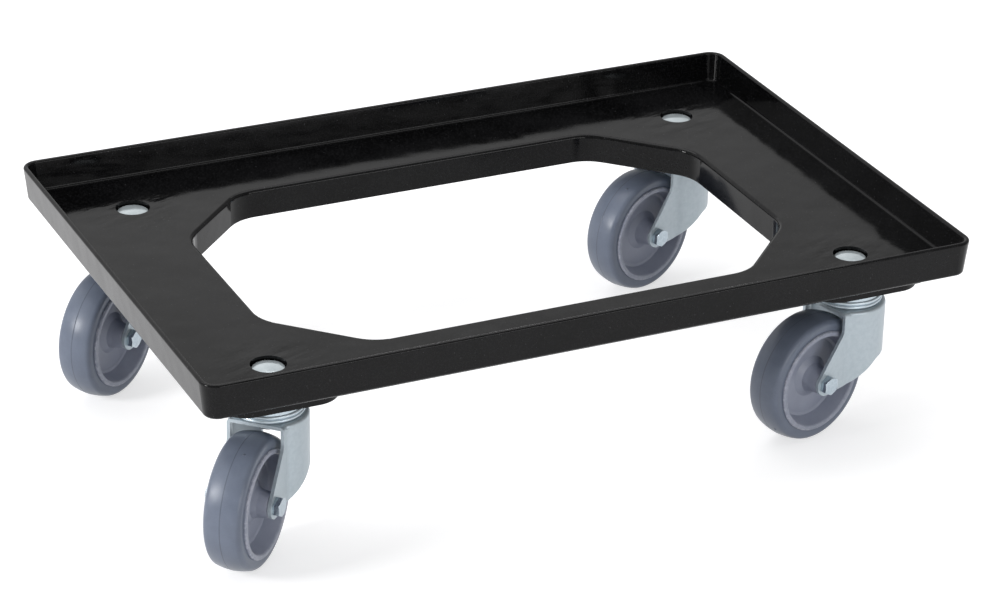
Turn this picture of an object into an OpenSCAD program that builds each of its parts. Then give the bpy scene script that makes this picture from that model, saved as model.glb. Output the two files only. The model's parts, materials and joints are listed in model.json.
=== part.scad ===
// Crate dolly: a moulded tray with a central cut-out on four swivel castors.
// Millimetres, +Z up. The origin is on the floor under the middle of the deck,
// +X runs along the long side and -Y is the front.

/* [Deck] */
// Length of the deck over its rim
deck_length = 610; // [560:5:820]
// Width of the deck over its rim
deck_width = 410; // [390:5:620]
// Thickness of the deck plate
deck_thickness = 3.5; // [3:0.5:6]
// Height of the rim above the deck surface
rim_height = 24.5; // [12:0.5:40]
// Thickness of the rim wall at its top
rim_wall = 4; // [3:0.5:6]
// How much the rim's outer face leans in on its way down
rim_draft = 2.5; // [1:0.5:4]
// Radius that rolls the rim's outer face under the deck
edge_radius = 3; // [1:0.5:3]
// Outer radius of the deck's corners
corner_radius = 13; // [10:1:25]

/* [Central cut-out] */
// Length of the cut-out
opening_length = 428; // [300:2:440]
// Width of the cut-out
opening_width = 274; // [200:2:280]
// Leg of the chamfer across each corner of the cut-out
opening_chamfer = 63; // [55:1:80]
// Radius that blends the sides of the cut-out
opening_radius = 33; // [15:1:40]
// Depth of the wall round the cut-out, from the deck surface
opening_wall_depth = 23; // [12:1:26]
// Radius that rolls the deck's surface over into the cut-out
opening_edge = 3; // [1:0.5:3]

/* [Castor seats] */
// Distance between the castors along the deck
stud_pitch_x = 470; // [440:2:480]
// Distance between the castors across the deck
stud_pitch_y = 285; // [275:1:290]
// Length of the pad over each castor, along the deck
pad_length = 88; // [72:1:94]
// Width of the pad over each castor, across the deck
pad_width = 78; // [64:1:84]
// Radius of the pad's corners
pad_corner = 20; // [10:1:24]
// Depth of the pad, from the deck surface
pad_depth = 18.5; // [16:0.5:24]
// Diameter of the pocket for the bolt head
pocket_diameter = 26.4; // [24:0.2:28]
// Depth of the pocket for the bolt head
pocket_depth = 7; // [5.5:0.5:8]

/* [Deck ribs] */
// Thickness of the ribs and walls under the deck
rib_wall = 3; // [2:0.5:4]
// How far the rib round the underside stands in from the rim
rib_inset = 28; // [24:1:32]
// Distance between the cross ribs
rib_pitch = 62; // [45:1:90]

/* [Wheels] */
// Diameter of the wheel
wheel_diameter = 100; // [96:1:125]
// Width of the tyre
tyre_width = 28.5; // [26:0.5:30]
// Width of the hub over its flanges
hub_width = 32; // [31:0.5:36]
// Diameter of the hub's rim flange
hub_diameter = 80; // [74:1:84]
// Width of the hub's flange ring, seen from the side
hub_lip = 4; // [3:0.5:6]
// Thickness of the hub's web
hub_web = 6; // [4:0.5:10]
// Outer diameter of the axle sleeve
sleeve_diameter = 12; // [11:0.5:14]

/* [Forks] */
// Distance from the swivel axis to the axle
trail = 41; // [36:0.5:46]
// Outer diameter of the fork's crown
crown_diameter = 58; // [56:1:64]
// Thickness of the fork's sheet
fork_sheet = 2.5; // [2:0.25:3]
// Clear width between the legs
fork_gap = 38.5; // [38:0.5:42]
// Radius of the rounded end of each leg
lug_radius = 9.5; // [9:0.5:12]
// Height of the swivel head above the underside of the crown
head_height = 19; // [18:0.5:24]

/* [Fasteners] */
// Diameter of the castor's mounting bolt
stud_diameter = 10; // [8:1:10]
// Diameter of the mounting bolt's head
stud_head_diameter = 23.4; // [18:0.2:23.6]
// Height of the mounting bolt's head
stud_head_height = 5.2; // [3:0.1:5.4]
// Diameter of the axle bolt
axle_diameter = 8; // [6:1:8]

/* [Castor directions] */
// Direction of the front left wheel from its swivel axis
trail_angle_fl = 226; // [0:1:360]
// Direction of the front right wheel from its swivel axis
trail_angle_fr = 197; // [0:1:360]
// Direction of the back left wheel from its swivel axis
trail_angle_bl = 218; // [0:1:360]
// Direction of the back right wheel from its swivel axis
trail_angle_br = 200; // [0:1:360]

/* [Hidden] */
$fn = 64;

// Clearances
running_fit = 0.05;      // turning on a pin, and balls in their races
seat_fit = 0.05;         // pieces that are assembled and don't move
tyre_fit = 0.12;         // tyre in its seat on the hub
tyre_clearance = 1;      // tyre to the crown above it and the nut beside it

// Fastener proportions
stud_neck_depth = 5;
stud_nut_height = 0.84 * stud_diameter;
stud_nut_flats = 1.7 * stud_diameter;
stud_washer_diameter = 2 * stud_diameter;
stud_washer_height = 1.6;
stud_tail = 1.7;
axle_nut_height = 0.82 * axle_diameter;
axle_head_height = 0.66 * axle_diameter;
axle_flats = 1.625 * axle_diameter;
axle_washer_height = 1.2;
axle_washer_diameter = 2 * axle_diameter;
axle_tail = 1.2;

// Kingpin: a tube round the mounting bolt, riveted over at both ends
king_bore = stud_diameter / 2 + 0.2;
king_radius = king_bore + 1.8;
king_flange = king_radius + 3;
king_flange_height = 1.5;

// Levels, from the floor up
axle_z = wheel_diameter / 2;
stud_nut_corner = stud_nut_flats / 2 / cos(30);
below_crown = 0.3 + stud_washer_height + stud_nut_height + stud_tail;
tyre_z_at_nut = axle_z + sqrt(pow(axle_z, 2) - pow(trail - stud_nut_corner, 2));
crown_z = max(wheel_diameter + tyre_clearance, tyre_z_at_nut + tyre_clearance + below_crown - stud_tail);
seat_z = crown_z + head_height;
deck_z = seat_z + pad_depth;
deck_under_z = deck_z - deck_thickness;
rim_z = deck_z + rim_height;
opening_wall_z = deck_z - opening_wall_depth;
rib_z = seat_z + 1.5;
pocket_z = deck_z - pocket_depth;

// Rim: lean of its inner face, fillet at its foot, and how far in its section reaches under the deck
rim_lean = 1.2;
rim_foot = 2;
rim_round = 0.45 * rim_wall;
rim_root = max(rim_wall + rim_lean + rim_foot, rim_draft + edge_radius + 2.5);

// Swivel head: radii of the crown, of the two ball rows and of the races
crown_radius = crown_diameter / 2;
crown_round = 3;
cap_radius = crown_radius - crown_round + 0.2;
cap_wall = 2.75;
cap_bead = 1.55;
upper_ball = 3.2;
upper_row = cap_radius - 5.45;
lower_ball = 2.4;
lower_row = king_radius + 4.8;
race_well = upper_row - 0.4;
race_flank = upper_row + 2.1;
lower_race_radius = lower_row + 3.4;
race_edge = 0.5;

// Swivel head: heights above the underside of the crown
upper_ball_z = 10.45;
lower_ball_z = 5.45;
inner_flat_z = 9.9;
upper_track_z = 7.7;
race_step_z = 5.2;
lower_race_z = 1.2;
lower_track_z = 3.4;
cap_bead_z = [4.4, 7.35];

// Fork legs: the plan is the drum, then flat and parallel up to the axle
leg_half = fork_gap / 2 + fork_sheet;
leg_front = crown_radius - 4;
leg_blend = 8;
knee_drop = 14;
knee_radius = 8;
skirt_end = -5;
skirt_rise = 10;
skirt_slope = 2.5;
skirt_radius = 12;
heel_run = 21;
heel_fall = 7.5;
heel_radius = 14;
arch_half = 15;
arch_top = crown_z - 9;

// Wheel
hub_radius = hub_diameter / 2;
hub_half = hub_width / 2;
hub_seat = hub_radius - 1.4;
hub_rim_inner = hub_radius - hub_lip;
hub_well = hub_rim_inner - 3;
hub_boss = sleeve_diameter / 2 + 3.2;
hub_boss_half = fork_gap / 2 - 0.3;
hub_edge = 0.8;
tyre_seat_half = tyre_width / 2 - 0.6;
tyre_shoulder = 4.5;
tyre_crown = 40;

// Castors: side along X, side along Y and direction of the wheel
castors = [
    [-1, -1, trail_angle_fl],
    [1, -1, trail_angle_fr],
    [-1, 1, trail_angle_bl],
    [1, 1, trail_angle_br]
];
function stud(c) = [c[0] * stud_pitch_x / 2, c[1] * stud_pitch_y / 2];

function polar(r, angle) = [r * cos(angle), r * sin(angle)];
function unit(v) = v / norm(v);
function heading(v) = atan2(v.y, v.x);

// Centre of the arc of radius r that rounds the corner p of a convex outline
function arc_centre(a, p, b, r) =
    let (u = unit(a - p), v = unit(b - p))
    p + unit(u + v) * r / sqrt((1 - u * v) / 2);

// A corner replaced by an arc of radius r, in n steps
function rounded_corner(a, p, b, r, n = 8) =
    let (
        c = arc_centre(a, p, b, r),
        u = unit(a - p),
        v = unit(b - p),
        from = heading(p + u * ((c - p) * u) - c),
        to = heading(p + v * ((c - p) * v) - c),
        turn = (to - from + 540) % 360 - 180
    )
    [for (i = [0:n]) c + polar(r, from + turn * i / n)];

// An outline with each corner rounded by its own radius
function rounded_outline(points, radii) =
    let (n = len(points))
    [for (i = [0:n - 1])
        for (q = radii[i] == 0
                ? [points[i]]
                : rounded_corner(points[(i + n - 1) % n], points[i], points[(i + 1) % n], radii[i]))
            q];

// Where a line from p touches a circle; side is 1 for the left of the way there, -1 for the right
function touch_point(p, centre, r, side) =
    let (d = centre - p, half = acos(r / norm(d)))
    centre + polar(r, heading(-d) - side * half);

function rectangle(length, width) = [
    [-length / 2, -width / 2], [length / 2, -width / 2],
    [length / 2, width / 2], [-length / 2, width / 2]
];

// Centres of the arcs at the corners of the deck, and of the arcs at the ends of the cut-out's chamfers
deck_path = rectangle(deck_length - 2 * corner_radius, deck_width - 2 * corner_radius);
opening_path =
    let (
        x = opening_length / 2 - opening_radius,
        y = opening_width / 2 - opening_radius,
        c = round(10 * (opening_chamfer - opening_radius * (2 - sqrt(2)))) / 10
    )
    [
        [-x + c, -y], [x - c, -y], [x, -y + c], [x, y - c],
        [x - c, y], [-x + c, y], [-x, y - c], [-x, -y + c]
    ];

// The outline at distance r round a path of arc centres
module rounded_area(path, r) {
    n = len(path);
    polygon([for (i = [0:n - 1])
        for (way = [path[i] - path[(i + n - 1) % n], path[(i + 1) % n] - path[i]])
            path[i] + r * unit([way.y, -way.x])]);
    for (c = path) translate(c) circle(r);
}

// Sweeps a profile round a path of arc centres: x is the distance out from the path, y is the height.
// Each straight stretch is drawn from both its ends and overlaps in its middle.
module swept_wall(path) {
    n = len(path);
    for (i = [0:n - 1]) {
        before = path[i] - path[(i + n - 1) % n];
        after = path[(i + 1) % n] - path[i];
        translate(path[i]) {
            rotate(heading(before) - 90) {
                rotate_extrude(angle = (heading(after) - heading(before) + 360) % 360) children();
                rotate([90, 0, 0]) linear_extrude(0.6 * norm(before)) children();
            }
            rotate(heading(after) - 90)
                mirror([0, 1, 0]) rotate([90, 0, 0]) linear_extrude(0.6 * norm(after)) children();
        }
    }
}

// Rim: drafted outer face, rounded at its top and bottom, and a small fillet down to the deck
module rim_profile() {
    outer = corner_radius;
    inner = outer - rim_wall;
    foot = inner - rim_lean;
    root = outer - rim_root;
    base = outer - rim_draft;
    difference() {
        union() {
            polygon([
                [root, deck_under_z + edge_radius], [base, deck_under_z + edge_radius],
                [outer, rim_z - rim_round], [inner, rim_z - rim_round], [foot, deck_z], [root, deck_z]
            ]);
            translate([root, deck_under_z]) square([base - edge_radius - root, edge_radius]);
            translate([base - edge_radius, deck_under_z + edge_radius])
                intersection() {
                    circle(edge_radius);
                    translate([0, -edge_radius]) square(edge_radius);
                }
            polygon([
                [foot - rim_foot, deck_z - 0.2], [inner, deck_z - 0.2],
                [foot + 0.1, deck_z + rim_foot], [foot - rim_foot, deck_z + rim_foot]
            ]);
            translate([inner + rim_round, rim_z - rim_round - 0.01])
                square([rim_wall - 2 * rim_round, rim_round]);
            for (x = [inner + rim_round, outer - rim_round])
                translate([x, rim_z - rim_round]) circle(rim_round);
        }
        translate([foot - rim_foot, deck_z + rim_foot]) circle(rim_foot);
    }
}

module stud_places() {
    for (c = castors) translate(stud(c)) children();
}

module deck_outline(inset) {
    rounded_area(deck_path, corner_radius - inset);
}

module opening_outline(grow) {
    rounded_area(opening_path, opening_radius + grow);
}

// What is taken off the top edge of the cut-out to round it over
module opening_edge_cut() {
    difference() {
        translate([opening_radius - 1, deck_z - opening_edge]) square(opening_edge + 1);
        translate([opening_radius + opening_edge - 0.01, deck_z - opening_edge + 0.01]) circle(opening_edge);
    }
}

// Ribs between the wall of the cut-out and the rib that runs round the underside
module rib_plan() {
    ring_length = deck_length - 2 * rib_inset;
    ring_width = deck_width - 2 * rib_inset;
    straight_x = opening_length / 2 - opening_chamfer;
    straight_y = opening_width / 2 - opening_chamfer;
    rows_x = floor(straight_x / rib_pitch);
    rows_y = floor(straight_y / rib_pitch);
    difference() {
        union() {
            difference() {
                square([ring_length, ring_width], center = true);
                square([ring_length - 2 * rib_wall, ring_width - 2 * rib_wall], center = true);
            }
            for (i = [-rows_x:rows_x])
                translate([i * rib_pitch, 0]) square([rib_wall, ring_width - rib_wall], center = true);
            for (i = [-rows_y:rows_y])
                translate([0, i * rib_pitch]) square([ring_length - rib_wall, rib_wall], center = true);
            for (c = castors)
                translate(stud(c))
                    for (angle = [0, 90, 45])
                        rotate(c[0] * c[1] * angle + (c[0] < 0 ? 180 : 0) + 180)
                            translate([pad_width / 2 - 2, -rib_wall / 2])
                                square([angle == 45 ? 30 : 60, rib_wall]);
        }
        opening_outline(rib_wall / 2);
        stud_places() pad_outline(1);
    }
}

module pad_outline(inset) {
    rounded_area(rectangle(pad_length - 2 * pad_corner, pad_width - 2 * pad_corner), pad_corner - inset);
}

// Pad over a castor: a rounded ring, a column for the bolt and webs between them
module pad_plan() {
    difference() {
        pad_outline(0);
        pad_outline(rib_wall);
    }
    circle(pocket_diameter / 2 + rib_wall);
    for (k = [0:3])
        rotate(45 * k) square([pad_width - rib_wall, rib_wall], center = true);
}

// Triangular gussets that carry the rim from the rib round the underside
module gussets() {
    reach = rib_inset - rim_draft - edge_radius - 1;
    rows_x = floor((opening_length / 2 - opening_chamfer) / rib_pitch);
    rows_y = floor((opening_width / 2 - opening_chamfer) / rib_pitch);
    for (side = [0, 180])
        rotate([0, 0, side]) {
            for (i = [-rows_x:rows_x])
                translate([i * rib_pitch - rib_wall / 2, deck_width / 2 - rib_inset - 0.5, 0])
                    rotate([90, 0, 90]) linear_extrude(rib_wall) gusset_side(reach);
            for (i = [-rows_y:rows_y])
                translate([deck_length / 2 - rib_inset - 0.5, i * rib_pitch + rib_wall / 2, 0])
                    rotate([90, 0, 0]) linear_extrude(rib_wall) gusset_side(reach);
        }
}

module gusset_side(reach) {
    polygon([[0, rib_z], [reach, deck_under_z - 0.5], [reach, deck_under_z + 0.5], [0, deck_under_z + 0.5]]);
}

module deck_frame() {
    color([0.13, 0.13, 0.13])
        difference() {
            union() {
                translate([0, 0, deck_under_z]) linear_extrude(deck_thickness) deck_outline(rim_root - 1);
                swept_wall(deck_path) rim_profile();
                translate([0, 0, opening_wall_z])
                    linear_extrude(deck_under_z - opening_wall_z + 0.5) opening_outline(rib_wall);
                translate([0, 0, rib_z]) linear_extrude(deck_under_z - rib_z + 0.5) rib_plan();
                stud_places()
                    translate([0, 0, seat_z]) linear_extrude(deck_under_z - seat_z + 0.5) pad_plan();
                gussets();
            }
            translate([0, 0, opening_wall_z - 1]) linear_extrude(deck_z - opening_wall_z + 2) opening_outline(0);
            swept_wall(opening_path) opening_edge_cut();
            stud_places() {
                translate([0, 0, pocket_z]) cylinder(d = pocket_diameter, h = pocket_depth + 1);
                translate([0, 0, seat_z - 1]) cylinder(r = stud_diameter / 2 + 0.25, h = pad_depth);
                translate([0, 0, pocket_z - stud_neck_depth / 2 - 0.1])
                    cube([stud_diameter + 0.2, stud_diameter + 0.2, stud_neck_depth + 0.2], center = true);
            }
        }
}

// Puts a castor's piece under its seat, with the wheel trailing along the given angle
module at_stud(i) {
    translate(stud(castors[i])) rotate([0, 0, castors[i][2]]) children();
}

// Turns a piece drawn on the Z axis onto the wheel's axle
module on_axle() {
    translate([trail, 0, axle_z]) rotate([90, 0, 0]) children();
}

module hex_prism(flats, height) {
    corner = flats / 2 / cos(30);
    intersection() {
        rotate([0, 0, 30]) cylinder(r = corner, h = height, $fn = 6);
        union() {
            cylinder(r1 = flats / 2, r2 = flats / 2 + height * 0.9, h = height * 0.5);
            translate([0, 0, height * 0.5])
                cylinder(r1 = flats / 2 + height * 0.9, r2 = flats / 2, h = height * 0.5);
        }
    }
}

module mounting_bolt(i) {
    tail_z = crown_z - below_crown;
    crown_drop = 1.2;
    r = stud_head_diameter / 2;
    dome = (r * r + crown_drop * crown_drop) / 2 / crown_drop;
    color([0.8, 0.82, 0.84])
        translate(stud(castors[i])) {
            translate([0, 0, pocket_z])
                intersection() {
                    cylinder(r = r, h = stud_head_height);
                    translate([0, 0, stud_head_height - dome]) sphere(dome);
                    cylinder(r1 = r + stud_head_height - 0.6, r2 = r - 0.6, h = stud_head_height);
                }
            translate([0, 0, pocket_z - stud_neck_depth / 2 + 0.25])
                cube([stud_diameter, stud_diameter, stud_neck_depth + 0.5 - 0.2], center = true);
            translate([0, 0, tail_z]) cylinder(r = stud_diameter / 2, h = pocket_z - tail_z + 0.5);
        }
}

module mounting_nut(i) {
    washer_z = crown_z - 0.3 - stud_washer_height;
    color([0.72, 0.74, 0.77])
        at_stud(i)
            difference() {
                union() {
                    translate([0, 0, washer_z])
                        cylinder(d = stud_washer_diameter, h = stud_washer_height);
                    translate([0, 0, washer_z - stud_nut_height])
                        hex_prism(stud_nut_flats, stud_nut_height + 0.001);
                }
                translate([0, 0, washer_z - stud_nut_height - 1])
                    cylinder(r = stud_diameter / 2 + seat_fit, h = stud_nut_height + stud_washer_height + 2);
            }
}

module kingpin(i) {
    color([0.74, 0.76, 0.79])
        at_stud(i)
            translate([0, 0, crown_z])
                rotate_extrude()
                    polygon([
                        [king_bore, -0.3], [king_flange - 0.5, -0.3], [king_flange, 0.2],
                        [king_flange, lower_race_z], [king_radius, lower_race_z],
                        [king_radius, head_height - king_flange_height],
                        [king_flange, head_height - king_flange_height],
                        [king_flange, head_height], [king_bore, head_height]
                    ]);
}

// Upper race cap: a dished cup over the balls, its skirt rolled into two beads
module race_cap(i) {
    top = head_height;
    pin = king_radius + seat_fit;
    collar = top - king_flange_height - seat_fit;
    flange = king_flange + 0.3;
    shoulder = upper_row;
    bore = cap_radius - cap_wall;
    foot = cap_bead_z[0];
    color([0.76, 0.79, 0.83])
        at_stud(i)
            translate([0, 0, crown_z])
                difference() {
                    union() {
                        rotate_extrude()
                            polygon([
                                [pin, collar], [flange, collar], [flange + 0.6, top],
                                [shoulder - 2.2, top], [shoulder, top - 1.2], [shoulder + 2.2, top - 3.2],
                                [cap_radius - 1.3, top - 6.8], [cap_radius - 1.1, foot], [bore, foot],
                                [bore, top - 6.6], [bore - 1.1, top - 5.3], [shoulder - 1.3, top - 5.3],
                                [shoulder - 2.9, top - 3.6], [pin, top - 3.6]
                            ]);
                        difference() {
                            rotate_extrude()
                                for (z = cap_bead_z) translate([cap_radius - cap_bead, z]) circle(cap_bead);
                            cylinder(r = bore + 0.3, h = top);
                        }
                    }
                    rotate_extrude()
                        translate([upper_row, upper_ball_z]) circle(upper_ball + running_fit);
                }
}

module ball_row(i, row, ball, z, paint) {
    count = floor(2 * PI * row / (2 * ball + 0.5));
    color(paint)
        at_stud(i)
            for (k = [0:count - 1])
                rotate([0, 0, 360 * k / count])
                    translate([row, 0, crown_z + z]) sphere(ball, $fn = 32);
}

module upper_balls(i) {
    ball_row(i, upper_row, upper_ball, upper_ball_z, [0.55, 0.57, 0.6]);
}

module lower_balls(i) {
    ball_row(i, lower_row, lower_ball, lower_ball_z, [0.55, 0.57, 0.6]);
}

module lower_race(i) {
    r = lower_race_radius;
    pin = king_radius + seat_fit;
    base = lower_race_z + seat_fit;
    color([0.7, 0.72, 0.75])
        at_stud(i)
            translate([0, 0, crown_z])
                rotate_extrude()
                    difference() {
                        polygon([
                            [pin, base], [r - race_edge, base], [r, lower_race_z + race_edge],
                            [r, race_step_z], [r - 1, race_step_z], [r - 1, lower_track_z], [pin, lower_track_z]
                        ]);
                        translate([lower_row, lower_ball_z]) circle(lower_ball + running_fit);
                    }
}

// Crown: the step up to the upper race and the dome between the two rows of balls
module crown() {
    step = inner_flat_z - fork_sheet;
    dome_edge = upper_row - 3.6;
    pin = king_radius + 0.4;
    translate([0, 0, crown_z])
        rotate_extrude()
            difference() {
                polygon([
                    [race_flank + 1, 0], [race_flank + 1, fork_sheet], [race_flank, fork_sheet],
                    [race_flank, upper_track_z - race_edge], [race_flank - race_edge, upper_track_z],
                    [dome_edge + 1.2, upper_track_z], [dome_edge, inner_flat_z],
                    [pin, inner_flat_z], [pin, step], [dome_edge + 0.2, step],
                    [dome_edge + 1.4, race_step_z], [race_well, race_step_z], [race_well, 0]
                ]);
                translate([upper_row, upper_ball_z]) circle(upper_ball + running_fit);
                translate([lower_row, lower_ball_z]) circle(lower_ball + running_fit);
            }
}

// Plan of the drum and the two parallel flats, for one face of the sheet
module leg_plan(drum, half, blend) {
    centre = [sqrt(pow(drum + blend, 2) - pow(half + blend, 2)), half + blend];
    touch = centre * drum / (drum + blend);
    circle(drum);
    translate([0, -half]) square([trail + 2 * lug_radius, 2 * half]);
    for (side = [-1, 1])
        difference() {
            polygon([
                [touch.x - 4, side * (half - 1)], [touch.x, side * touch.y],
                [centre.x, side * half], [centre.x, side * (half - 1)]
            ]);
            translate([centre.x, side * centre.y]) circle(blend);
        }
}

// Side view of a leg, from the crown down to the rounded end at the axle
module leg_side() {
    axle = [trail, axle_z];
    knee = [leg_front, crown_z - knee_drop];
    top = crown_z + fork_sheet + 1;
    back = -crown_radius - 1;
    heel = [trail - heel_run, axle_z - heel_fall];
    front_touch = touch_point(knee, axle, lug_radius, 1);
    heel_touch = touch_point(heel, axle, lug_radius, -1);
    polygon(rounded_outline(
        [
            [leg_front, top], [back, top], [back, axle_z + skirt_rise + skirt_slope],
            [skirt_end, axle_z + skirt_rise], heel, heel_touch, axle, front_touch, knee
        ],
        [0, 0, 0, skirt_radius, heel_radius, 0, 0, 0, knee_radius]
    ));
    translate(axle) circle(lug_radius);
}

// Half of a plate's edge, rolled over at its top: x is the way out, y is the height
module rolled_edge(reach) {
    square([reach - crown_round, crown_round]);
    translate([reach - crown_round, 0])
        intersection() {
            circle(crown_round);
            square(crown_round);
        }
}

// Outside of the pressing: the drum and the flats, rolled over into the crown's flat top
module fork_outside() {
    low = axle_z - lug_radius - 1;
    shoulder_z = crown_z + fork_sheet - crown_round;
    translate([0, 0, low]) linear_extrude(shoulder_z - low) leg_plan(crown_radius, leg_half, leg_blend);
    translate([0, 0, shoulder_z]) {
        rotate_extrude() rolled_edge(crown_radius);
        rotate([90, 0, 90])
            linear_extrude(leg_front + 1)
                for (side = [0, 1]) mirror([side, 0]) rolled_edge(leg_half);
    }
}

module fork(i) {
    low = axle_z - lug_radius - 2;
    color([0.74, 0.78, 0.82])
        at_stud(i)
            difference() {
                union() {
                    crown();
                    difference() {
                        intersection() {
                            fork_outside();
                            rotate([90, 0, 0])
                                linear_extrude(3 * crown_radius, center = true) leg_side();
                        }
                        translate([0, 0, low])
                            linear_extrude(crown_z - low)
                                leg_plan(crown_radius - fork_sheet, fork_gap / 2, leg_blend + fork_sheet);
                        translate([0, 0, crown_z - 1]) cylinder(r = race_flank + 0.5, h = fork_sheet + 2);
                    }
                }
                // arch between the legs at the back
                translate([-crown_radius - 1, 0, 0])
                    rotate([90, 0, 90])
                        linear_extrude(crown_radius) {
                            translate([0, arch_top - arch_half]) circle(arch_half);
                            translate([-arch_half, 0]) square([2 * arch_half, arch_top - arch_half]);
                        }
                on_axle()
                    cylinder(r = axle_diameter / 2 + 0.15, h = 3 * crown_radius, center = true);
            }
}

module axle_bolt(i) {
    outer = leg_half;
    tail = outer + axle_washer_height + axle_nut_height + axle_tail;
    color([0.75, 0.79, 0.83])
        at_stud(i)
            on_axle() {
                translate([0, 0, -outer - axle_head_height]) hex_prism(axle_flats, axle_head_height);
                translate([0, 0, -outer - 0.5]) cylinder(d = axle_diameter, h = outer + 0.5 + tail);
            }
}

module axle_nut(i) {
    color([0.72, 0.76, 0.8])
        at_stud(i)
            on_axle()
                translate([0, 0, leg_half])
                    difference() {
                        union() {
                            cylinder(d = axle_washer_diameter, h = axle_washer_height);
                            translate([0, 0, axle_washer_height - 0.001])
                                hex_prism(axle_flats, axle_nut_height);
                        }
                        translate([0, 0, -1])
                            cylinder(r = axle_diameter / 2 + seat_fit, h = axle_nut_height + axle_washer_height + 2);
                    }
}

module axle_sleeve(i) {
    color([0.68, 0.7, 0.73])
        at_stud(i)
            on_axle()
                difference() {
                    cylinder(d = sleeve_diameter, h = fork_gap, center = true);
                    cylinder(r = axle_diameter / 2 + 0.1, h = fork_gap + 2, center = true);
                }
}

// The hub's section: rim flanges, drafted rim, dished web and boss, the same on both sides
module hub_section() {
    web = hub_web / 2;
    boss_foot = hub_boss + 7;
    half = [
        [sleeve_diameter / 2 + running_fit, hub_boss_half],
        [hub_boss - hub_edge, hub_boss_half], [hub_boss, hub_boss_half - hub_edge],
        [hub_boss + 1, web + 8], [hub_boss + 2.5, web + 4], [boss_foot, web + hub_edge],
        [hub_well - 3, web], [hub_well - hub_edge, web + hub_edge], [hub_well, web + 3],
        [hub_rim_inner, hub_half - hub_edge], [hub_rim_inner + hub_edge, hub_half],
        [hub_radius - hub_edge, hub_half], [hub_radius, hub_half - hub_edge],
        [hub_radius, tyre_seat_half], [hub_seat, tyre_seat_half]
    ];
    polygon(concat(half, [for (i = [len(half) - 1:-1:0]) [half[i].x, -half[i].y]]));
}

module hub(i) {
    color([0.52, 0.54, 0.58])
        at_stud(i)
            on_axle()
                rotate_extrude($fn = 96) hub_section();
}

// Tyre section: a crowned tread, rounded shoulders and flat sides down to the hub's flange
module tyre_section() {
    half = tyre_width / 2;
    inner = hub_seat + tyre_fit;
    step = hub_radius + tyre_fit;
    key = tyre_seat_half - tyre_fit;
    across = half - tyre_shoulder;
    spring = tyre_crown - tyre_shoulder;
    shoulder_r = axle_z - tyre_crown + sqrt(spring * spring - across * across) + 0.02;
    tread_half = tyre_crown * across / spring;
    intersection() {
        union() {
            translate([inner, -key]) square([step - inner + 1, 2 * key]);
            translate([step, -half]) square([shoulder_r - step, tyre_width]);
            translate([step, -tread_half]) square([axle_z - step, 2 * tread_half]);
            for (side = [-1, 1]) translate([shoulder_r, side * across]) circle(tyre_shoulder);
        }
        translate([axle_z - tyre_crown, 0]) circle(tyre_crown, $fn = 256);
    }
}

module tyre(i) {
    color([0.4, 0.43, 0.46])
        at_stud(i) on_axle() rotate_extrude($fn = 96) tyre_section();
}

deck_frame();
mounting_bolt(0);  // mounting_bolt_fl
mounting_bolt(1);  // mounting_bolt_fr
mounting_bolt(2);  // mounting_bolt_bl
mounting_bolt(3);  // mounting_bolt_br
mounting_nut(0);  // mounting_nut_fl
mounting_nut(1);  // mounting_nut_fr
mounting_nut(2);  // mounting_nut_bl
mounting_nut(3);  // mounting_nut_br
kingpin(0);  // kingpin_fl
kingpin(1);  // kingpin_fr
kingpin(2);  // kingpin_bl
kingpin(3);  // kingpin_br
race_cap(0);  // race_cap_fl
race_cap(1);  // race_cap_fr
race_cap(2);  // race_cap_bl
race_cap(3);  // race_cap_br
upper_balls(0);  // upper_balls_fl
upper_balls(1);  // upper_balls_fr
upper_balls(2);  // upper_balls_bl
upper_balls(3);  // upper_balls_br
lower_balls(0);  // lower_balls_fl
lower_balls(1);  // lower_balls_fr
lower_balls(2);  // lower_balls_bl
lower_balls(3);  // lower_balls_br
lower_race(0);  // lower_race_fl
lower_race(1);  // lower_race_fr
lower_race(2);  // lower_race_bl
lower_race(3);  // lower_race_br
fork(0);  // fork_fl
fork(1);  // fork_fr
fork(2);  // fork_bl
fork(3);  // fork_br
axle_bolt(0);  // axle_bolt_fl
axle_bolt(1);  // axle_bolt_fr
axle_bolt(2);  // axle_bolt_bl
axle_bolt(3);  // axle_bolt_br
axle_nut(0);  // axle_nut_fl
axle_nut(1);  // axle_nut_fr
axle_nut(2);  // axle_nut_bl
axle_nut(3);  // axle_nut_br
axle_sleeve(0);  // axle_sleeve_fl
axle_sleeve(1);  // axle_sleeve_fr
axle_sleeve(2);  // axle_sleeve_bl
axle_sleeve(3);  // axle_sleeve_br
hub(0);  // hub_fl
hub(1);  // hub_fr
hub(2);  // hub_bl
hub(3);  // hub_br
tyre(0);  // tyre_fl
tyre(1);  // tyre_fr
tyre(2);  // tyre_bl
tyre(3);  // tyre_br
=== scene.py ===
import json
import math
import bmesh
import bpy
from mathutils import Matrix, Vector


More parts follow.
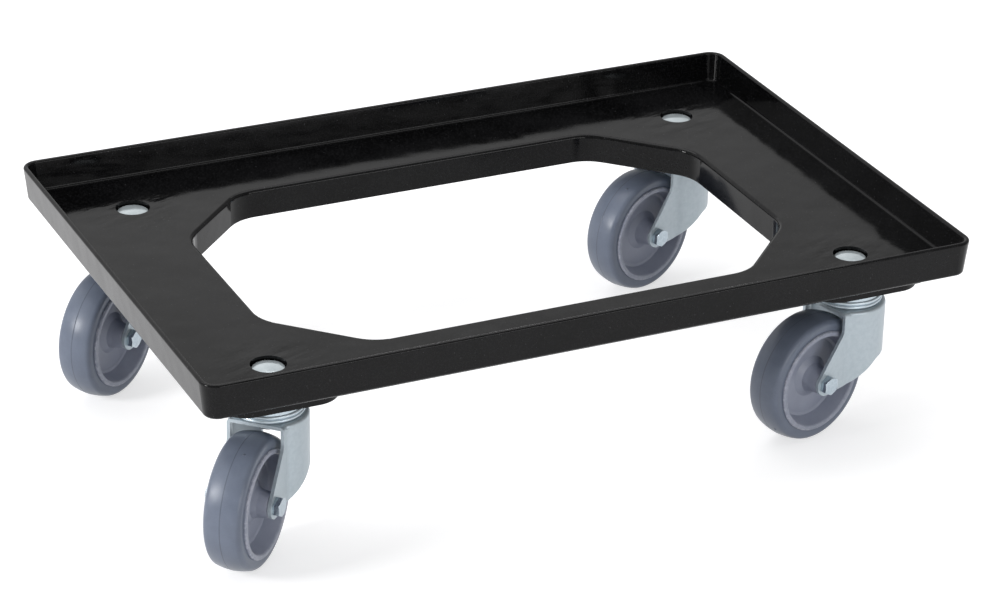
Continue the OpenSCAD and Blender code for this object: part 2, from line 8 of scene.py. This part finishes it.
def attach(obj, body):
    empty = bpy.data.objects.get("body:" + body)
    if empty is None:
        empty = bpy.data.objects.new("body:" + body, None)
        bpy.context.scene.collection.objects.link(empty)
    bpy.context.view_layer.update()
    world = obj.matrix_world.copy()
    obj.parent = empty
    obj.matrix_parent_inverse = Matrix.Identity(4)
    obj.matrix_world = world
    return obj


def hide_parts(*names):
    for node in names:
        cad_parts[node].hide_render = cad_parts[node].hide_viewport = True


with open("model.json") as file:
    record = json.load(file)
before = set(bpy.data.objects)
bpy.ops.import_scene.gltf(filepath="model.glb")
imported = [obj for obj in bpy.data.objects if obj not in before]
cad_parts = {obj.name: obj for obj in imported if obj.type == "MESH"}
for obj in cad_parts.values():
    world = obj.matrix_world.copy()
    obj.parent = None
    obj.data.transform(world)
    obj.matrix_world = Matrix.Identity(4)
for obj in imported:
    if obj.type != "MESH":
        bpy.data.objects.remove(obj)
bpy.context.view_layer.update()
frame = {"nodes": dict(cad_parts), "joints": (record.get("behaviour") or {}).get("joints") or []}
nodes = frame["nodes"]
castorNames = ["fl", "fr", "bl", "br"]
jointNamed = {joint["name"]: joint for joint in frame["joints"]}
mm = 0.001


# node trees

def addNode(tree, kind, inputs=None, **settings):
    # each input, by its name or number, is a value or a socket to link from
    node = tree.nodes.new(kind)
    for key, value in settings.items():
        setattr(node, key, value)
    for key, value in (inputs or {}).items():
        if isinstance(value, bpy.types.NodeSocket):
            tree.links.new(value, node.inputs[key])
        else:
            node.inputs[key].default_value = value
    return node


def calc(tree, operation, first, second=0.0, clamp=False):
    node = addNode(tree, "ShaderNodeMath", {0: first, 1: second},
                   operation=operation, use_clamp=clamp)
    return node.outputs[0]


def spread(tree, value, low, high, toLow=0.0, toHigh=1.0):
    # runs smoothly from toLow where the value is low to toHigh where it is high
    node = addNode(tree, "ShaderNodeMapRange", {0: value, 1: low, 2: high, 3: toLow, 4: toHigh},
                   interpolation_type="SMOOTHSTEP")
    return node.outputs[0]


def noise(tree, position, size, detail, roughness=0.5):
    # size is the length of one patch in metres, or a socket that gives it
    node = addNode(tree, "ShaderNodeTexNoise", {
        "Vector": position, "Scale": calc(tree, "DIVIDE", 1.0, size), "Detail": detail,
        "Roughness": roughness,
    })
    return node.outputs["Fac"]


def blend(tree, share, first, second):
    node = addNode(tree, "ShaderNodeMix", {0: share}, data_type="RGBA")
    for index, colour in ((6, first), (7, second)):  # the two colour sockets of a Mix node
        if isinstance(colour, bpy.types.NodeSocket):
            tree.links.new(colour, node.inputs[index])
        else:
            node.inputs[index].default_value = (*colour, 1)
    return node.outputs[2]


# effects: node groups that take a position in metres and their own values

def newEffect(name, values, results):
    group = bpy.data.node_groups.new(name, "ShaderNodeTree")
    sockets = group.interface
    sockets.new_socket(name="Position", in_out="INPUT", socket_type="NodeSocketVector")
    for label, value in values.items():
        socket = sockets.new_socket(name=label, in_out="INPUT", socket_type="NodeSocketFloat")
        socket.default_value = value
    for label in results:
        sockets.new_socket(name=label, in_out="OUTPUT", socket_type="NodeSocketFloat")
    given, result = group.nodes.new("NodeGroupInput"), group.nodes.new("NodeGroupOutput")
    return group, given.outputs, result.inputs


def makeSurfaceMottle():
    # soft patches with a finer grain on them, from 0 to 1
    group, given, result = newEffect(
        "surfaceMottle", {"Patch": 0.004, "Grain": 0.0006, "Grain Share": 0.35}, ["Mask"])
    patchEdges = (0.32, 0.68)
    patch = noise(group, given["Position"], given["Patch"], detail=4.0, roughness=0.55)
    grain = noise(group, given["Position"], given["Grain"], detail=2.0)
    mask = addNode(group, "ShaderNodeMix", {
        0: given["Grain Share"], 2: spread(group, patch, *patchEdges), 3: grain,
    }, data_type="FLOAT")
    group.links.new(mask.outputs[0], result["Mask"])


def makeMouldHeight():
    # slow waves and a fine grain in metres, for a bump
    group, given, result = newEffect("mouldHeight", {
        "Wave": 0.05, "Wave Depth": 0.00005, "Grain": 0.0005, "Grain Depth": 0.000004,
    }, ["Height"])
    wave = noise(group, given["Position"], given["Wave"], detail=1.6)
    grain = noise(group, given["Position"], given["Grain"], detail=2.0)
    height = calc(group, "ADD", calc(group, "MULTIPLY", wave, given["Wave Depth"]),
                  calc(group, "MULTIPLY", grain, given["Grain Depth"]))
    group.links.new(height, result["Height"])


def makeEdgeRubAndHighlight():
    # paler convex edges, partly wear where they have been rubbed and partly a painted highlight
    # along them, broken up by a noise
    group, given, result = newEffect(
        "edgeRub", {"Amount": 0.5, "Break Size": 0.006, "Reach": 0.001}, ["Mask"])
    flatToEdge, breakEdges = (0.96, 0.60), (0.42, 0.62)
    inner = addNode(group, "ShaderNodeAmbientOcclusion", {"Distance": given["Reach"]},
                    samples=6, inside=True, only_local=True)
    edge = spread(group, inner.outputs["AO"], *flatToEdge)
    patches = noise(group, given["Position"], given["Break Size"], detail=5.0, roughness=0.6)
    rubbedAndHighlit = calc(group, "MULTIPLY", edge, spread(group, patches, *breakEdges))
    mask = calc(group, "MULTIPLY", rubbedAndHighlit, given["Amount"], clamp=True)
    group.links.new(mask, result["Mask"])


def makeScuffs():
    # sparse fine scratches, and specks that are fewer the higher the rarity, each from 0 to 1
    group, given, result = newEffect(
        "scuffs", {"Length": 0.03, "Speck": 0.0012, "Rarity": 0.72}, ["Scratches", "Specks"])
    lean, stretch, thinness = (0, 0, 0.5), (14, 1, 14), 0.1
    lineEdges, gateEdges, speckEdge = (0.66, 0.70), (0.52, 0.60), 0.03
    drawn = addNode(group, "ShaderNodeMapping", {
        "Vector": given["Position"], "Rotation": lean, "Scale": stretch,
    }, vector_type="TEXTURE").outputs[0]
    lines = noise(group, drawn, calc(group, "MULTIPLY", given["Length"], thinness), detail=2.0)
    gate = noise(group, given["Position"], given["Length"], detail=1.0)
    scratches = calc(group, "MULTIPLY", spread(group, lines, *lineEdges),
                     spread(group, gate, *gateEdges))
    specks = spread(group, noise(group, given["Position"], given["Speck"], detail=0.0),
                    given["Rarity"], calc(group, "ADD", given["Rarity"], speckEdge))
    group.links.new(scratches, result["Scratches"])
    group.links.new(specks, result["Specks"])


def makeFlowMarks():
    # the wavy streaks that the melt leaves on the deck's face round each bolt pocket, from 0 to 1
    group, given, result = newEffect(
        "flowMarks", {"Pocket X": 0.235, "Pocket Y": 0.1425, "Reach": 0.055}, ["Streaks"])
    nearAndFar = (0.25, 1.0)  # shares of the reach
    faceToRim = (0.139, 0.142)  # heights between which the marks end
    lean, stretch, streakWidth = (0, 0, 0.35), (2.4, 1, 2.4), 0.011
    place = addNode(group, "ShaderNodeSeparateXYZ", {0: given["Position"]}).outputs
    fromPocket = addNode(group, "ShaderNodeCombineXYZ", {
        0: calc(group, "SUBTRACT", calc(group, "ABSOLUTE", place[0]), given["Pocket X"]),
        1: calc(group, "SUBTRACT", calc(group, "ABSOLUTE", place[1]), given["Pocket Y"]),
    })
    distance = addNode(group, "ShaderNodeVectorMath", {0: fromPocket.outputs[0]},
                       operation="LENGTH").outputs["Value"]
    near = spread(group, calc(group, "DIVIDE", distance, given["Reach"]), *nearAndFar, 1.0, 0.0)
    near = calc(group, "MULTIPLY", near, spread(group, place[2], *faceToRim, 1.0, 0.0))
    drawn = addNode(group, "ShaderNodeMapping", {
        "Vector": given["Position"], "Rotation": lean, "Scale": stretch,
    }, vector_type="TEXTURE").outputs[0]
    wave = noise(group, drawn, streakWidth, detail=2.0, roughness=0.45)
    group.links.new(calc(group, "MULTIPLY", near, wave), result["Streaks"])


for makeEffect in (makeSurfaceMottle, makeMouldHeight, makeEdgeRubAndHighlight, makeScuffs, makeFlowMarks):
    makeEffect()
print("effects:", ", ".join(group.name for group in bpy.data.node_groups))


# finishes: each look gives the shader's fixed values, its colours, its roughness from gloss
# to dull, and the values of its effects, in metres

def newFinish(name, look):
    material = bpy.data.materials.new(name)
    material.use_nodes = True
    tree = material.node_tree
    surface = tree.nodes["Principled BSDF"].inputs
    for socket, value in look["fixed"].items():
        surface[socket].default_value = value
    position = addNode(tree, "ShaderNodeTexCoord").outputs["Object"]
    return material, tree, surface, position


def effect(tree, name, position, values):
    node = addNode(tree, "ShaderNodeGroup", node_tree=bpy.data.node_groups[name])
    tree.links.new(position, node.inputs["Position"])
    for label, value in values.items():
        node.inputs[label].default_value = value
    return node.outputs


def setRoughness(tree, surface, share, look):
    tree.links.new(spread(tree, share, 0.0, 1.0, look["gloss"], look["dull"]), surface["Roughness"])


def setBump(tree, surface, height):
    bump = addNode(tree, "ShaderNodeBump", {"Strength": 1.0, "Distance": 1.0, "Height": height})
    tree.links.new(bump.outputs[0], surface["Normal"])


deckLook = {
    "fixed": {"Metallic": 0.0, "IOR": 1.265},
    "black": (0.0010, 0.0010, 0.0011), "cloudy": (0.0046, 0.0046, 0.0050),
    "rubbedAndHighlit": (0.045, 0.045, 0.048), "gloss": 0.075, "dull": 0.125,
    "speckShare": 0.9, "poreShare": 0.09, "scratchShare": 0.5, "flowDepth": 0.00055,
    "mottle": {"Patch": 0.07, "Grain": 0.005, "Grain Share": 0.25},
    "rubAndHighlight": {"Amount": 0.6, "Reach": 0.0012, "Break Size": 0.012},
    "scuffs": {"Length": 0.05, "Speck": 0.0014, "Rarity": 0.81},
    "pores": {"Speck": 0.0013, "Rarity": 0.56},
    "flow": {"Pocket X": 0.235, "Pocket Y": 0.1425, "Reach": 0.055},
    "height": {"Wave": 0.036, "Wave Depth": 0.00046, "Grain": 0.0012, "Grain Depth": 0.000015},
}


def makeDeckPlastic():
    # glossy black plastic: slow ripples, flow marks by the pockets, pale specks, and paler edges
    # that are partly rubbed and partly a painted highlight
    look = deckLook
    material, tree, surface, position = newFinish("deckPlastic", look)
    mottle = effect(tree, "surfaceMottle", position, look["mottle"])["Mask"]
    rubAndHighlight = effect(tree, "edgeRub", position, look["rubAndHighlight"])["Mask"]
    scuffs = effect(tree, "scuffs", position, look["scuffs"])
    pores = effect(tree, "scuffs", position, look["pores"])["Specks"]
    specks = calc(tree, "MAXIMUM", calc(tree, "MULTIPLY", scuffs["Specks"], look["speckShare"]),
                  calc(tree, "MULTIPLY", pores, look["poreShare"]))
    cloud = blend(tree, mottle, look["black"], look["cloudy"])
    # pale specks, and convex edges painted paler: partly wear, partly a painted highlight along the
    # rim's edges
    colour = blend(tree, calc(tree, "MAXIMUM", rubAndHighlight, specks), cloud, look["rubbedAndHighlit"])
    tree.links.new(colour, surface["Base Color"])
    scratches = calc(tree, "MULTIPLY", scuffs["Scratches"], look["scratchShare"])
    setRoughness(tree, surface, calc(tree, "ADD", mottle, scratches, clamp=True), look)
    ripples = effect(tree, "mouldHeight", position, look["height"])["Height"]
    flow = effect(tree, "flowMarks", position, look["flow"])["Streaks"]
    streaks = calc(tree, "MULTIPLY", flow, look["flowDepth"])
    setBump(tree, surface, calc(tree, "ADD", ripples, streaks))
    return material


rubberLook = {
    "fixed": {"Metallic": 0.0, "Specular IOR Level": 0.4},
    "grey": (0.136, 0.160, 0.214), "pale": (0.165, 0.193, 0.254), "dust": (0.27, 0.29, 0.33),
    # the last value darkens the rubber of the seam and the nib, as a painted shade
    "gloss": 0.29, "dull": 0.38, "dustShare": 0.15, "seamPaintedShade": 0.74,
    "mottle": {"Patch": 0.013, "Grain": 0.0012, "Grain Share": 0.4},
    "scuffs": {"Length": 0.02, "Speck": 0.0009, "Rarity": 0.80},
    "height": {"Wave": 0.009, "Wave Depth": 0.000012, "Grain": 0.0006, "Grain Depth": 0.0000030},
}


def makeRubber(name, shade):
    # soft grey rubber with a little dust
    look = rubberLook
    material, tree, surface, position = newFinish(name, look)
    mottle = effect(tree, "surfaceMottle", position, look["mottle"])["Mask"]
    specks = effect(tree, "scuffs", position, look["scuffs"])["Specks"]
    # shade darkens the whole rubber; below 1, for the seam and the nib, it is a painted shade
    grey, pale = (tuple(part * shade for part in look[key]) for key in ("grey", "pale"))
    cloud = blend(tree, mottle, grey, pale)
    colour = blend(tree, calc(tree, "MULTIPLY", specks, look["dustShare"]), cloud, look["dust"])
    tree.links.new(colour, surface["Base Color"])
    setRoughness(tree, surface, mottle, look)
    setBump(tree, surface, effect(tree, "mouldHeight", position, look["height"])["Height"])
    return material


hubLook = {
    "fixed": {"Metallic": 0.0, "Specular IOR Level": 0.45},
    # the edge colour, spread by the wide rub reach over the whole lip, makes the lip paler: partly
    # wear, partly a painted highlight
    "shade": (0.270, 0.294, 0.370), "light": (0.325, 0.347, 0.425), "edge": (0.56, 0.57, 0.64),
    "gloss": 0.32, "dull": 0.44,
    "mottle": {"Patch": 0.018, "Grain": 0.0015, "Grain Share": 0.3},
    "rubAndHighlight": {"Amount": 0.8, "Reach": 0.0022, "Break Size": 0.004},
    "height": {"Wave": 0.02, "Wave Depth": 0.00004, "Grain": 0.0007, "Grain Depth": 0.000006},
}


def makeWornFinish(name, look):
    # a mottled surface with a fine grain, and paler edges that are partly rubbed and partly a
    # painted highlight
    material, tree, surface, position = newFinish(name, look)
    mottle = effect(tree, "surfaceMottle", position, look["mottle"])["Mask"]
    rubAndHighlight = effect(tree, "edgeRub", position, look["rubAndHighlight"])["Mask"]
    colour = blend(tree, rubAndHighlight, blend(tree, mottle, look["shade"], look["light"]), look["edge"])
    tree.links.new(colour, surface["Base Color"])
    setRoughness(tree, surface, mottle, look)
    setBump(tree, surface, effect(tree, "mouldHeight", position, look["height"])["Height"])
    return material


def makeSteel(name, look):
    # plated or polished steel: the patches of its spangle are also its slow waves
    wear = {
        "mottle": {"Patch": look["patch"], "Grain": look["grain"], "Grain Share": 0.45},
        "rubAndHighlight": {"Amount": 0.6, "Reach": 0.0005, "Break Size": 0.003},
        "height": {"Wave": look["patch"], "Wave Depth": look["patchDepth"],
                   "Grain": look["grain"], "Grain Depth": look["grainDepth"]},
    }
    return makeWornFinish(name, {**look, **wear})


zincSheet = {
    "fixed": {"Metallic": 0.45, "Specular IOR Level": 0.5}, "gloss": 0.34, "dull": 0.50,
    "shade": (0.430, 0.500, 0.545), "light": (0.530, 0.595, 0.638), "edge": (0.70, 0.76, 0.80),
    "patch": 0.0034, "patchDepth": 0.000014, "grain": 0.0005, "grainDepth": 0.000003,
}
zincBright = {
    "fixed": {"Metallic": 0.92, "Specular IOR Level": 0.5}, "gloss": 0.13, "dull": 0.22,
    "shade": (0.38, 0.45, 0.51), "light": (0.50, 0.57, 0.62), "edge": (0.74, 0.79, 0.82),
    "patch": 0.0025, "patchDepth": 0.000007, "grain": 0.0004, "grainDepth": 0.0000015,
}
studZinc = {
    "fixed": {"Metallic": 0.60, "Specular IOR Level": 0.5}, "gloss": 0.10, "dull": 0.17,
    "shade": (0.56, 0.625, 0.655), "light": (0.67, 0.735, 0.765), "edge": (0.84, 0.88, 0.90),
    "patch": 0.003, "patchDepth": 0.000003, "grain": 0.0005, "grainDepth": 0.0000008,
}
capZinc = {
    "fixed": {"Metallic": 0.55, "Specular IOR Level": 0.5}, "gloss": 0.28, "dull": 0.38,
    "shade": (0.55, 0.645, 0.71), "light": (0.65, 0.735, 0.79), "edge": (0.80, 0.86, 0.90),
    "patch": 0.003, "patchDepth": 0.000006, "grain": 0.0005, "grainDepth": 0.000002,
}
ballSteel = {
    "fixed": {"Metallic": 1.0, "Specular IOR Level": 0.5}, "gloss": 0.08, "dull": 0.18,
    "shade": (0.48, 0.49, 0.50), "light": (0.58, 0.59, 0.61), "edge": (0.7, 0.71, 0.73),
    "patch": 0.002, "patchDepth": 0.000002, "grain": 0.0003, "grainDepth": 0.0000005,
}

finishes = {  # by the record's material slots
    "deck_plastic": makeDeckPlastic(),
    "tyre_rubber": makeRubber("tyreRubber", 1.0),
    "hub_plastic": makeWornFinish("hubPlastic", hubLook),
    "zinc_sheet": makeSteel("zincSheet", zincSheet),
    "zinc_bright": makeSteel("zincBright", zincBright),
    "ball_steel": makeSteel("ballSteel", ballSteel),
}
nodeFinishes = {  # kinds of node with a finish of their own
    "mounting_bolt": makeSteel("studZinc", studZinc),
    "race_cap": makeSteel("capZinc", capZinc),
}
# the tyre's rubber darkened as a painted shade on the parting line and the vent nib
paintedShadeRubber = makeRubber("paintedShadeRubber", rubberLook["seamPaintedShade"])
print("finishes:", ", ".join(sorted(finishes)))


# the CAD nodes: their finishes, and a bevel on their edges

edgeSoftening = {  # the bevel's width and segments
    "deck_frame": (0.7 * mm, 3), "fork": (0.28 * mm, 2), "hub": (0.25 * mm, 2),
    "race_cap": (0.12 * mm, 2), "mounting_bolt": (0.2 * mm, 2), "axle_bolt": (0.22 * mm, 2),
    "axle_nut": (0.2 * mm, 2),
}
softenAboveDeg = 35


def kindOf(nodeName):
    # a castor's nodes end in its two letters
    return nodeName[:-3] if nodeName[-2:] in castorNames else nodeName


def dressNode(kind, node):
    # the frame's materials are named after the record's slots
    for slot in node.material_slots:
        slot.material = nodeFinishes.get(kind) or finishes[slot.material.name.split(".")[0]]
    if kind not in edgeSoftening:
        return
    soften = node.modifiers.new("softEdges", "BEVEL")
    soften.width, soften.segments = edgeSoftening[kind]
    soften.limit_method, soften.angle_limit = "ANGLE", math.radians(softenAboveDeg)
    soften.use_clamp_overlap = True
    soften.harden_normals = True


for nodeName, nodeObject in nodes.items():
    dressNode(kindOf(nodeName), nodeObject)
print("nodes dressed")


# shapes

def addObject(name, data):
    thing = bpy.data.objects.new(name, data)
    bpy.context.scene.collection.objects.link(thing)
    return thing


def arc(centreR, centreH, radius, fromDeg, toDeg, steps):
    points = []
    for k in range(steps + 1):
        angle = math.radians(fromDeg + (toDeg - fromDeg) * k / steps)
        points.append((centreR + radius * math.cos(angle), centreH + radius * math.sin(angle)))
    return points


def lathe(form, section, turns, placing):
    # turns a closed section of (radius, height) points round local z
    rings = []
    for k in range(turns):
        c, s = math.cos(math.tau * k / turns), math.sin(math.tau * k / turns)
        rings.append([form.verts.new(placing @ Vector((r * c, r * s, h))) for r, h in section])
    for ring, after in zip(rings, rings[1:] + rings[:1]):
        for k in range(len(section)):
            j = (k + 1) % len(section)
            form.faces.new((ring[k], after[k], after[j], ring[j]))


def dome(form, radius, height, rounds, sides, placing):
    # a low closed dome on local z, let a little into what it stands on
    top = form.verts.new(placing @ Vector((0, 0, height)))
    foot = form.verts.new(placing @ Vector((0, 0, -height)))
    quarter = [math.pi / 2 * k / rounds for k in range(1, rounds + 1)]
    profile = [(radius * math.sin(a), height * math.cos(a)) for a in quarter] + [(radius, -height)]
    turn = [math.tau * n / sides for n in range(sides)]
    rings = [[form.verts.new(placing @ Vector((r * math.cos(a), r * math.sin(a), h))) for a in turn]
             for r, h in profile]
    for n in range(sides):
        m = (n + 1) % sides
        form.faces.new((top, rings[0][n], rings[0][m]))
        form.faces.new((foot, rings[-1][m], rings[-1][n]))
        for ring, after in zip(rings, rings[1:]):
            form.faces.new((ring[n], after[n], after[m], ring[m]))


def finishedMesh(name, form, sharpDeg):
    bmesh.ops.recalc_face_normals(form, faces=form.faces)
    mesh = bpy.data.meshes.new(name)
    form.to_mesh(mesh)
    form.free()
    mesh.shade_smooth()
    mesh.set_sharp_from_angle(angle=math.radians(sharpDeg))
    return mesh


# tyres: the CAD's section with the mould's parting line round the tread, and a vent nib, both
# darkened as a painted shade

tyreLook = {
    "crown": 40 * mm, "shoulder": 4.5 * mm, "foot": 0.15 * mm,  # radii of the section
    "seatDepth": 1.28 * mm, "seatInset": 0.72 * mm,
    "crownSteps": 16, "shoulderSteps": 10, "footSteps": 3, "turns": 224, "sharpDeg": 40,
    "treadDepth": 1 * mm,  # how far in from the tread's top the parting line is looked for
    "flashHeight": 0.14 * mm, "flashHalf": 0.42 * mm, "flashFromDeg": 0.6,
    "flashSlope": (1.0, 0.6, 0.25, 0.0),  # shares of its half width, from its foot to its ridge
    "nibRadius": 1.05 * mm, "nibHeight": 0.50 * mm, "nibRounds": 6, "nibSides": 20,
    "nibPlace": {  # degrees round the wheel, and mm from its middle
        "fl": (70.0, -5.5), "fr": (-40.0, -6.6), "bl": (215.0, -6.6), "br": (63.5, -6.0),
    },
}
plainIndex, paintedShadeIndex = 0, 1  # a tyre's own rubber, and the darker one, a painted shade on its seam and nib


def wheelFrame(castor):
    # local x points away from the swivel axis, y up, and z along the axle
    joint = jointNamed["roll_" + castor]
    axis, up = Vector(joint["axis"]), Vector((0, 0, 1))
    placing = Matrix.Identity(4)
    for column, direction in enumerate([axis.cross(up), up, -axis]):
        placing.col[column][:3] = direction
    placing.translation = Vector(joint["pos_m"])
    return placing


def tyreSize(castor, placing):
    # the CAD tyre's outer radius, half its width, and its bore's radius
    inverse = placing.inverted()
    points = [inverse @ vertex.co for vertex in nodes["tyre_" + castor].data.vertices]
    radii, along = [point.xy.length for point in points], [point.z for point in points]
    return max(radii), (max(along) - min(along)) / 2, min(radii)


def tyreSection(radius, half, bore):
    # from the bore out to the parting line on one side, and back on the other
    look = tyreLook
    crown, shoulder, foot = look["crown"], look["shoulder"], look["foot"]
    centre = radius - look["flashHeight"] - crown
    spring, across = crown - shoulder, half - shoulder
    shoulderR = centre + math.sqrt(spring * spring - across * across)
    tilt = math.degrees(math.asin(across / spring))
    hubRadius, seatHalf = bore + look["seatDepth"], half - look["seatInset"]
    upper = [(bore, seatHalf), (hubRadius, seatHalf), (hubRadius, half - foot)]
    upper += arc(hubRadius + foot, half - foot, foot, 180, 90, look["footSteps"])[1:]
    upper += arc(shoulderR, across, shoulder, 90, tilt, look["shoulderSteps"])
    upper += arc(centre, 0, crown, tilt, look["flashFromDeg"], look["crownSteps"])[1:]
    for share in look["flashSlope"]:
        h = look["flashHalf"] * share
        r = math.sqrt(crown ** 2 - h * h) + centre + look["flashHeight"] * (1 - share)
        upper.append((r, h))
    return upper + [(r, -h) for r, h in reversed(upper[:-1])]


def markPartingLine(form, radius, placing):
    # only the faces of the parting line take the seam's darker rubber, a painted shade
    inverse = placing.inverted()
    for face in form.faces:
        middle = inverse @ face.calc_center_median()
        onTread = middle.xy.length > radius - tyreLook["treadDepth"]
        onSeam = onTread and abs(middle.z) < tyreLook["flashHalf"]
        face.material_index = paintedShadeIndex if onSeam else plainIndex


def addNib(form, castor, radius, placing):
    look = tyreLook
    around, side = look["nibPlace"][castor]
    around, lean = math.radians(around), math.asin(side * mm / look["crown"])
    inWheel = Vector((math.cos(around), math.sin(around), 0))
    outward = Vector((math.cos(around) * math.cos(lean), math.sin(around) * math.cos(lean),
                      math.sin(lean)))
    centre = inWheel * (radius - look["flashHeight"] - look["crown"])
    turn = outward.to_track_quat("Z", "Y").to_matrix().to_4x4()
    stand = placing @ Matrix.Translation(centre + outward * look["crown"]) @ turn
    treadFaces = len(form.faces)
    dome(form, look["nibRadius"], look["nibHeight"], look["nibRounds"], look["nibSides"], stand)
    form.faces.ensure_lookup_table()
    # the nib takes the darker rubber, a painted shade
    for face in form.faces[treadFaces:]:
        face.material_index = paintedShadeIndex


def makeTyre(castor):
    placing = wheelFrame(castor)
    radius, half, bore = tyreSize(castor, placing)
    form = bmesh.new()
    lathe(form, tyreSection(radius, half, bore), tyreLook["turns"], placing)
    markPartingLine(form, radius, placing)
    addNib(form, castor, radius, placing)
    name = "softTyre_" + castor
    tyre = addObject(name, finishedMesh(name, form, tyreLook["sharpDeg"]))
    for material in (finishes["tyre_rubber"], paintedShadeRubber):  # in the order of their indexes
        tyre.data.materials.append(material)
    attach(tyre, "wheel_" + castor)
    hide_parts("tyre_" + castor)


for castorName in castorNames:
    makeTyre(castorName)
print("tyres made")


# stage, lights and camera

stageLook = {
    "size": 9.0, "cells": 8, "paper": (0.60, 0.60, 0.61), "lift": 0.62,
    "worldColour": (1.0, 1.0, 1.0), "dimStrength": 0.43, "brightStrength": 1.0,
    "brightSide": (-0.5, 0.85, 0), "brightEdges": (0.15, 0.85),
}


def makePaper():
    # pale paper that keeps shadows, and is clear from below to show the dolly's underside
    material = bpy.data.materials.new("studioPaper")
    material.use_nodes = True
    tree = material.node_tree
    tree.nodes.remove(tree.nodes["Principled BSDF"])
    paper = addNode(tree, "ShaderNodeBsdfDiffuse", {"Color": (*stageLook["paper"], 1)})
    rays = addNode(tree, "ShaderNodeLightPath").outputs
    seen = calc(tree, "MAXIMUM", rays["Is Camera Ray"], rays["Is Transmission Ray"])
    seen = calc(tree, "MAXIMUM", seen, rays["Is Glossy Ray"])
    lift = calc(tree, "MULTIPLY", seen, stageLook["lift"])
    glow = addNode(tree, "ShaderNodeEmission", {"Strength": lift})
    lit = addNode(tree, "ShaderNodeAddShader", {0: paper.outputs[0], 1: glow.outputs[0]})
    below = addNode(tree, "ShaderNodeNewGeometry").outputs["Backfacing"]
    clear = addNode(tree, "ShaderNodeBsdfTransparent")
    side = addNode(tree, "ShaderNodeMixShader", {0: below, 1: lit.outputs[0], 2: clear.outputs[0]})
    tree.links.new(side.outputs[0], tree.nodes["Material Output"].inputs["Surface"])
    return material


def makeFloor():
    form = bmesh.new()
    bmesh.ops.create_grid(form, x_segments=stageLook["cells"], y_segments=stageLook["cells"],
                          size=stageLook["size"] / 2)
    mesh = bpy.data.meshes.new("studioFloor")
    form.to_mesh(mesh)
    form.free()
    mesh.materials.append(makePaper())
    addObject("studioFloor", mesh)


def makeWorld():
    # a pale room that is brightest behind the dolly's left
    world = bpy.data.worlds.new("studioRoom")
    bpy.context.scene.world = world
    world.use_nodes = True
    tree = world.node_tree
    background = tree.nodes["Background"]
    background.inputs["Color"].default_value = (*stageLook["worldColour"], 1)
    direction = addNode(tree, "ShaderNodeTexCoord").outputs["Generated"]
    facing = addNode(tree, "ShaderNodeVectorMath", {0: direction, 1: stageLook["brightSide"]},
                     operation="DOT_PRODUCT").outputs["Value"]
    strength = spread(tree, facing, *stageLook["brightEdges"],
                      stageLook["dimStrength"], stageLook["brightStrength"])
    tree.links.new(strength, background.inputs["Strength"])


softBoxes = {
    "topBox": {"at": (0.1, 0.6, 1.9), "aim": (0, 0, 0.1), "size": (2.2, 1.6), "power": 22},
    "leftBox": {"at": (-2.1, -0.25, 1.0), "aim": (0, 0, 0.05), "size": (0.5, 0.5), "power": 25},
    "frontBox": {"at": (0.5, -2.5, 0.7), "aim": (0, 0, 0.1), "size": (1.8, 0.7), "power": 16},
}


def makeSoftBox(name, box):
    lamp = bpy.data.lights.new(name, "AREA")
    lamp.shape, lamp.size, lamp.size_y, lamp.energy = "RECTANGLE", *box["size"], box["power"]
    holder = addObject(name, lamp)
    holder.location = box["at"]
    behind = Vector(box["at"]) - Vector(box["aim"])
    holder.rotation_euler = behind.to_track_quat("Z", "Y").to_euler()


cameraView = {  # angles in degrees, the lens and its sensor in mm
    "yaw": -25.27, "pitch": 26.07, "roll": 1.14, "distance": 2.7066,
    "target": (0.0111, -0.0001, 0.080), "lens": 126.646, "sensor": 36.0,
    "nearest": 0.1, "furthest": 60,
}


def makeCamera():
    view = cameraView
    yaw, pitch, roll = (math.radians(view[key]) for key in ("yaw", "pitch", "roll"))
    ahead = Vector((-math.sin(yaw) * math.cos(pitch), math.cos(yaw) * math.cos(pitch),
                    -math.sin(pitch)))
    right = Vector((math.cos(yaw), math.sin(yaw), 0))
    over = right.cross(ahead)
    tiltedRight = right * math.cos(roll) + over * math.sin(roll)
    tiltedUp = over * math.cos(roll) - right * math.sin(roll)
    lens = bpy.data.cameras.new("photoCamera")
    lens.lens, lens.sensor_width = view["lens"], view["sensor"]
    lens.clip_start, lens.clip_end = view["nearest"], view["furthest"]
    camera = addObject("photoCamera", lens)
    placing = Matrix.Identity(4)
    for column, direction in enumerate([tiltedRight, tiltedUp, -ahead]):
        placing.col[column][:3] = direction
    placing.translation = Vector(view["target"]) - ahead * view["distance"]
    camera.matrix_world = placing
    bpy.context.scene.camera = camera


makeFloor()
makeWorld()
for boxName, softBox in softBoxes.items():
    makeSoftBox(boxName, softBox)
makeCamera()
bpy.context.scene.view_settings.view_transform = "Standard"
print("stage ready")
